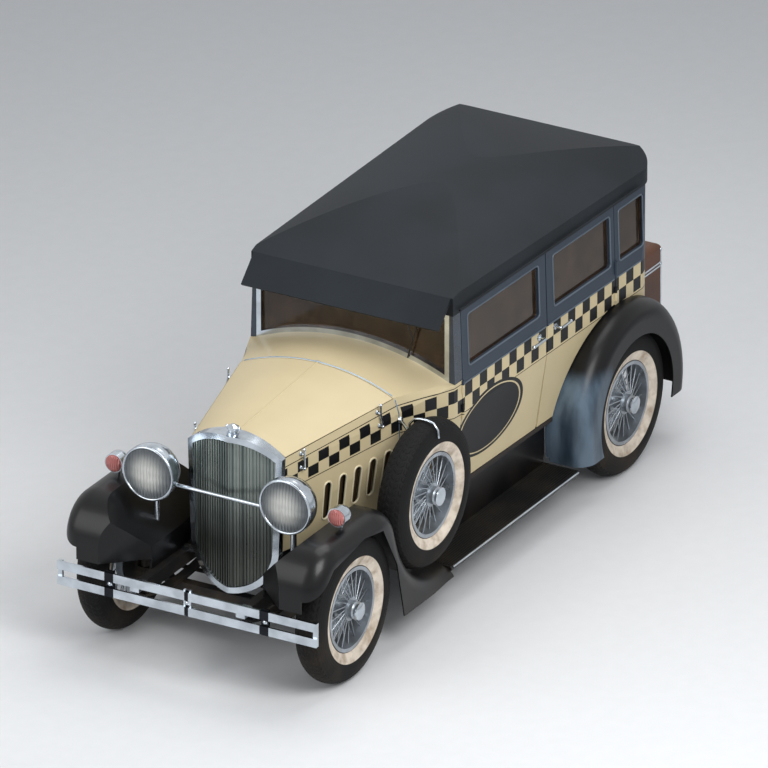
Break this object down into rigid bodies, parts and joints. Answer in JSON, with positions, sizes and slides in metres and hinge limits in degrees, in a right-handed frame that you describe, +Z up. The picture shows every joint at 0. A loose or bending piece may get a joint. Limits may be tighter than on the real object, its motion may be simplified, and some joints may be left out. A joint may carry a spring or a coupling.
{
  "type": "taxi cab",
  "caption": "Sedan taxi cab with wire wheels, steered front wheels, hinged doors, lifting hood tops, a side spare and a lidded trunk on a rear rack.",
  "frame": {"origin": "on the ground, midway along the car's length and width", "axes": "+X towards the front of the car, +Y towards its left side, +Z up"},
  "size_m": [4.25, 1.604, 1.88],
  "materials": {
    "tyre": "matt black with a white wall",
    "wire_wheel": "silver-blue enamel",
    "frame_paint": "satin black",
    "engine_iron": "dark grey",
    "exhaust_steel": "dull",
    "body_cream": "gloss cream with a checkered belt",
    "fender_black": "gloss black",
    "roof_charcoal": "satin charcoal",
    "chrome": "polished",
    "window_glass": "clear with a brown tint",
    "lamp_glass": "clear",
    "grille": "dark blue-green bars",
    "seat_leather": "dark brown",
    "trunk_hide": "brown with bright edges",
    "control_black": "black"
  },
  "bodies": {
    "chassis": {"back_panel": "body_cream", "body_sides": "body_cream", "center_posts": "body_cream", "chassis_frame": "frame_paint", "cowl": "body_cream", "driving_controls": "control_black", "engine": "engine_iron", "exhaust": "exhaust_steel", "floor": "frame_paint", "frame_members": "frame_paint", "front_axle": "frame_paint", "front_bumper": "chrome", "front_fenders": "fender_black", "front_seat": "seat_leather", "headlamp_lenses": "lamp_glass", "headlamps": "chrome", "hood_side_l": "body_cream", "hood_side_r": "body_cream", "leaf_springs": "frame_paint", "marker_lamps": "chrome", "radiator_grille": "grille", "radiator_shell": "chrome", "rear_axle": "frame_paint", "rear_fenders": "fender_black", "rear_seat": "seat_leather", "roof": "roof_charcoal", "running_boards": "fender_black", "spare_tyre": "tyre", "spare_wheel": "wire_wheel", "sun_visor": "roof_charcoal", "trunk_body": "trunk_hide", "trunk_rack": "frame_paint", "window_glass": "window_glass", "windshield_frame": "chrome"},
    "knuckle_l": {"knuckle_l": "frame_paint"},
    "knuckle_r": {"knuckle_r": "frame_paint"},
    "tie_rod": {"tie_rod": "frame_paint"},
    "wheel_fl": {"wheel_fl": "wire_wheel", "tyre_fl": "tyre"},
    "door_fl": {"door_fl": "body_cream", "glass_fl": "window_glass"},
    "wheel_fr": {"wheel_fr": "wire_wheel", "tyre_fr": "tyre"},
    "door_fr": {"door_fr": "body_cream", "glass_fr": "window_glass"},
    "wheel_rl": {"wheel_rl": "wire_wheel", "tyre_rl": "tyre"},
    "door_rl": {"door_rl": "body_cream", "glass_rl": "window_glass"},
    "wheel_rr": {"wheel_rr": "wire_wheel", "tyre_rr": "tyre"},
    "door_rr": {"door_rr": "body_cream", "glass_rr": "window_glass"},
    "hood_top_l": {"hood_top_l": "body_cream"},
    "hood_top_r": {"hood_top_r": "body_cream"},
    "trunk_lid": {"trunk_lid": "trunk_hide"}
  },
  "joints": [
    {"name": "steer_l", "type": "hinge", "parent": "chassis", "child": "knuckle_l", "pos_m": [1.625, 0.545, 0.419], "axis": [0, 0, 1], "range_deg": [-22, 22]},
    {"name": "steer_r", "type": "hinge", "parent": "chassis", "child": "knuckle_r", "pos_m": [1.625, -0.545, 0.419], "axis": [0, 0, 1], "range_deg": [-22, 22]},
    {"name": "tie_rod_pivot", "type": "hinge", "parent": "knuckle_l", "child": "tie_rod", "pos_m": [1.435, 0.545, 0.323], "axis": [0, 0, 1], "range_deg": [-22, 22]},
    {"name": "spin_fl", "type": "hinge", "parent": "knuckle_l", "child": "wheel_fl", "pos_m": [1.625, 0.677, 0.419], "axis": [0, 1, 0], "continuous": true},
    {"name": "spin_fr", "type": "hinge", "parent": "knuckle_r", "child": "wheel_fr", "pos_m": [1.625, -0.677, 0.419], "axis": [0, 1, 0], "continuous": true},
    {"name": "spin_rl", "type": "hinge", "parent": "chassis", "child": "wheel_rl", "pos_m": [-1.395, 0.677, 0.419], "axis": [0, 1, 0], "continuous": true},
    {"name": "spin_rr", "type": "hinge", "parent": "chassis", "child": "wheel_rr", "pos_m": [-1.395, -0.677, 0.419], "axis": [0, 1, 0], "continuous": true},
    {"name": "open_door_fl", "type": "hinge", "parent": "chassis", "child": "door_fl", "pos_m": [0.259, 0.638, 1], "axis": [0, 0, -1], "range_deg": [0, 70]},
    {"name": "open_door_fr", "type": "hinge", "parent": "chassis", "child": "door_fr", "pos_m": [0.259, -0.638, 1], "axis": [0, 0, 1], "range_deg": [0, 70]},
    {"name": "open_door_rl", "type": "hinge", "parent": "chassis", "child": "door_rl", "pos_m": [-1.355, 0.68035, 1], "axis": [0, 0, 1], "range_deg": [0, 70]},
    {"name": "open_door_rr", "type": "hinge", "parent": "chassis", "child": "door_rr", "pos_m": [-1.355, -0.68035, 1], "axis": [0, 0, -1], "range_deg": [0, 70]},
    {"name": "lift_hood_l", "type": "hinge", "parent": "chassis", "child": "hood_top_l", "pos_m": [1, 0, 1.31973], "axis": [0.997, 0, -0.077], "range_deg": [0, 50]},
    {"name": "lift_hood_r", "type": "hinge", "parent": "chassis", "child": "hood_top_r", "pos_m": [1, 0, 1.31973], "axis": [-0.997, 0, 0.077], "range_deg": [0, 50]},
    {"name": "lift_trunk_lid", "type": "hinge", "parent": "chassis", "child": "trunk_lid", "pos_m": [-1.8285, 0, 1.062], "axis": [0, 1, 0], "range_deg": [0, 80]}
  ],
  "couplings": [
    {"joint": "steer_r", "follows": "steer_l", "ratio": 1},
    {"joint": "tie_rod_pivot", "follows": "steer_l", "ratio": -1}
  ]
}
